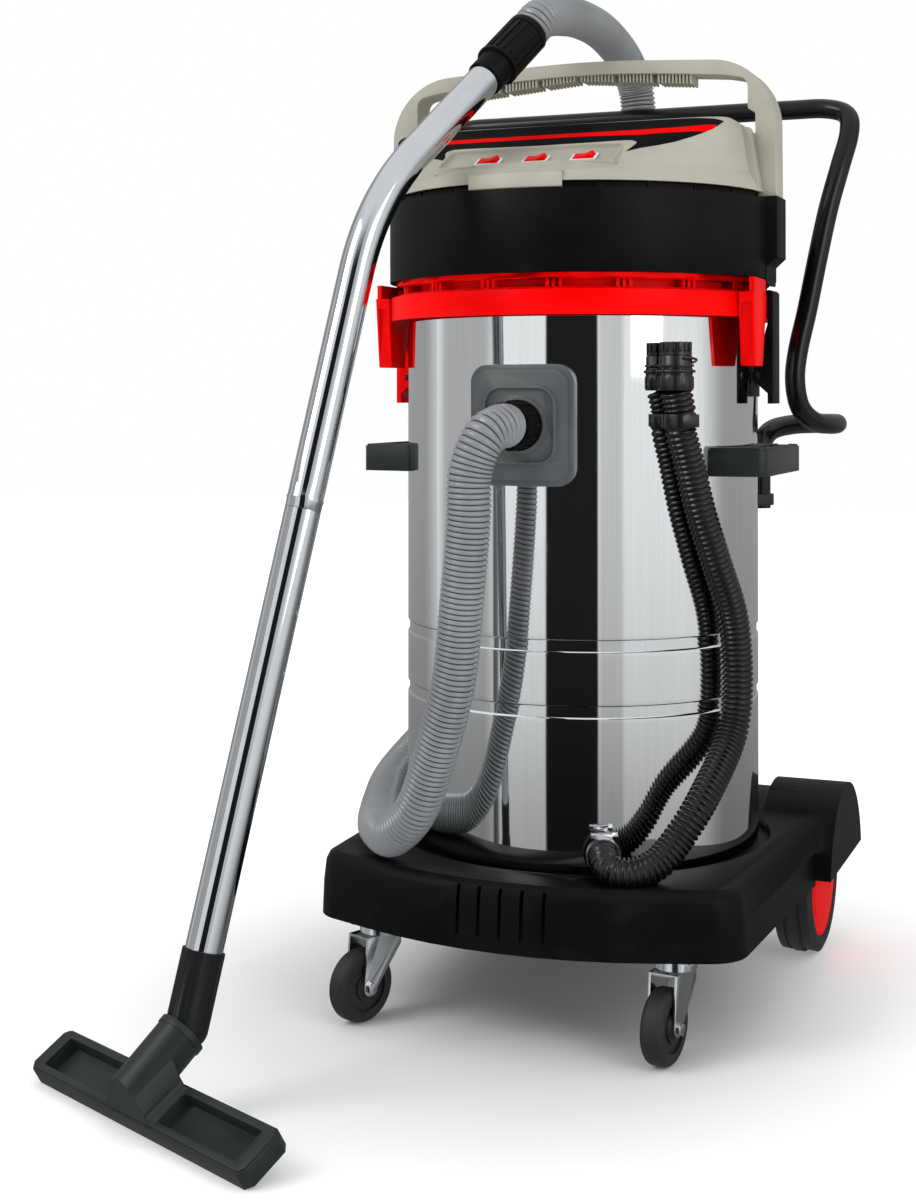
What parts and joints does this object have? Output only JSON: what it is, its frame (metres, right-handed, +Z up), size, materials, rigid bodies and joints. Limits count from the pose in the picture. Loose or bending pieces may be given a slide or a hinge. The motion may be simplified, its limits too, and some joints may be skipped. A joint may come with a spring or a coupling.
{
  "type": "wet and dry vacuum cleaner",
  "caption": "Commercial wet and dry vacuum cleaner: stainless tank on a black dolly, grey head with carry handle, push handle, ribbed hoses, chrome wand and floor tool",
  "frame": {"origin": "middle of the whole object's footprint, on the floor, hoses left out", "axes": "+Z up from the floor; -Y the front, where the suction inlet is; +X the side with the drain hose's clip"},
  "size_m": [0.7119, 1.0005, 1.1927],
  "materials": {
    "stainless": "polished stainless sheet",
    "chrome": "chromed steel tube",
    "zinc": "bright zinc plate",
    "black_plastic": "fine moulded texture",
    "grey_plastic": "fine moulded texture",
    "red_plastic": "smooth moulded red",
    "beige_plastic": "fine moulded texture",
    "black_paint": "gloss powder coat",
    "rubber": "matt moulded rubber",
    "hose_grey": "ribbed hose, semi-gloss",
    "hose_black": "ribbed hose, gloss",
    "cloth": "felted filter cloth",
    "motor_metal": "pressed motor casing",
    "clear_bezel": "translucent switch bezel",
    "float_plastic": "hollow float"
  },
  "bodies": {
    "root": {"tank": "stainless", "tank_gasket": "rubber", "filter_bag": "cloth", "base": "black_plastic", "inlet_plate": "grey_plastic", "inlet_cuff": "black_plastic", "drain_outlet": "black_plastic", "drain_clamp": "zinc", "drain_cuff": "black_plastic", "drain_clip": "black_plastic", "tool_holder_left": "grey_plastic", "tool_holder_right": "grey_plastic", "latch_bracket_left": "grey_plastic", "latch_bracket_right": "grey_plastic", "latch_pin_left": "zinc", "latch_pin_right": "zinc", "push_handle": "black_paint", "handle_clamps": "grey_plastic", "wheel_axle": "zinc", "caster_plate_left": "zinc", "caster_plate_right": "zinc", "head_base": "red_plastic", "exhaust_ring": "red_plastic", "motor_deck": "motor_metal", "motor_housing": "black_plastic", "top_cover": "beige_plastic", "carry_handle": "beige_plastic", "switch_frames": "clear_bezel", "motor_1": "motor_metal", "motor_2": "motor_metal", "motor_3": "motor_metal", "float_cage": "black_plastic", "power_gland": "black_plastic", "wand_lower": "chrome", "wand_upper": "chrome", "hose_cuff": "black_plastic", "tool_elbow": "black_plastic", "suction_hose": "hose_grey", "drain_hose": "hose_black"},
    "drain_cap": {"drain_cap": "black_plastic"},
    "latch_left": {"latch_left": "red_plastic"},
    "latch_right": {"latch_right": "black_plastic"},
    "rear_wheel_left": {"wheel_left": "rubber", "hub_left": "red_plastic"},
    "rear_wheel_right": {"wheel_right": "rubber", "hub_right": "red_plastic"},
    "caster_left": {"caster_fork_left": "zinc", "caster_bolt_left": "zinc"},
    "caster_right": {"caster_fork_right": "zinc", "caster_bolt_right": "zinc"},
    "caster_left_wheel": {"caster_wheel_left": "rubber"},
    "caster_right_wheel": {"caster_wheel_right": "rubber"},
    "rocker_1": {"switch_1": "red_plastic"},
    "rocker_2": {"switch_2": "red_plastic"},
    "rocker_3": {"switch_3": "red_plastic"},
    "spindle_1": {"rotor_1": "motor_metal"},
    "spindle_2": {"rotor_2": "motor_metal"},
    "spindle_3": {"rotor_3": "motor_metal"},
    "float": {"float_ball": "float_plastic"},
    "floor_tool": {"floor_tool": "grey_plastic"}
  },
  "joints": [
    {"name": "drain_cap_turn", "type": "hinge", "parent": "root", "child": "drain_cap", "pos_m": [0.22254, 0.01009, 0.75], "axis": [0, 0, 1], "range_deg": [0, 270]},
    {"name": "latch_left_open", "type": "hinge", "parent": "root", "child": "latch_left", "pos_m": [-0.1585, 0.1757, 0.723], "axis": [0, -1, 0], "range_deg": [0, 28]},
    {"name": "latch_right_open", "type": "hinge", "parent": "root", "child": "latch_right", "pos_m": [0.2815, 0.1757, 0.723], "axis": [0, 1, 0], "range_deg": [0, 28]},
    {"name": "rear_wheel_left_spin", "type": "hinge", "parent": "root", "child": "rear_wheel_left", "pos_m": [-0.1665, 0.3877, 0.1], "axis": [1, 0, 0], "continuous": true},
    {"name": "rear_wheel_right_spin", "type": "hinge", "parent": "root", "child": "rear_wheel_right", "pos_m": [0.2895, 0.3877, 0.1], "axis": [1, 0, 0], "continuous": true},
    {"name": "caster_left_swivel", "type": "hinge", "parent": "root", "child": "caster_left", "pos_m": [-0.1105, -0.0343, 0.108], "axis": [0, 0, 1], "continuous": true},
    {"name": "caster_left_roll", "type": "hinge", "parent": "caster_left", "child": "caster_left_wheel", "pos_m": [-0.12222, -0.06191, 0.04], "axis": [0.9205, -0.3907, 0], "continuous": true},
    {"name": "caster_right_swivel", "type": "hinge", "parent": "root", "child": "caster_right", "pos_m": [0.2335, -0.0343, 0.108], "axis": [0, 0, 1], "continuous": true},
    {"name": "caster_right_roll", "type": "hinge", "parent": "caster_right", "child": "caster_right_wheel", "pos_m": [0.22881, -0.06393, 0.04], "axis": [0.9877, -0.1564, 0], "continuous": true},
    {"name": "rocker_1_press", "type": "hinge", "parent": "root", "child": "rocker_1", "pos_m": [0.0045, 0.00954, 0.96405], "axis": [0, 0.8829, 0.4695], "range_deg": [0, 18]},
    {"name": "rocker_2_press", "type": "hinge", "parent": "root", "child": "rocker_2", "pos_m": [0.0615, 0.00954, 0.96405], "axis": [0, 0.8829, 0.4695], "range_deg": [0, 18]},
    {"name": "rocker_3_press", "type": "hinge", "parent": "root", "child": "rocker_3", "pos_m": [0.1185, 0.00954, 0.96405], "axis": [0, 0.8829, 0.4695], "range_deg": [0, 18]},
    {"name": "spindle_1_spin", "type": "hinge", "parent": "root", "child": "spindle_1", "pos_m": [0.0615, 0.2917, 0.88], "axis": [0, 0, 1], "continuous": true},
    {"name": "spindle_2_spin", "type": "hinge", "parent": "root", "child": "spindle_2", "pos_m": [-0.03896, 0.1177, 0.88], "axis": [0, 0, 1], "continuous": true},
    {"name": "spindle_3_spin", "type": "hinge", "parent": "root", "child": "spindle_3", "pos_m": [0.16196, 0.1177, 0.88], "axis": [0, 0, 1], "continuous": true},
    {"name": "float_rise", "type": "slide", "parent": "root", "child": "float", "axis": [0, 0, 1], "range_m": [0, 0.038]},
    {"name": "floor_tool_swivel", "type": "hinge", "parent": "root", "child": "floor_tool", "pos_m": [-0.16939, -0.36957, 0.08214], "axis": [0.329, 0.7254, 0.6046], "range_deg": [-75, 75]}
  ]
}
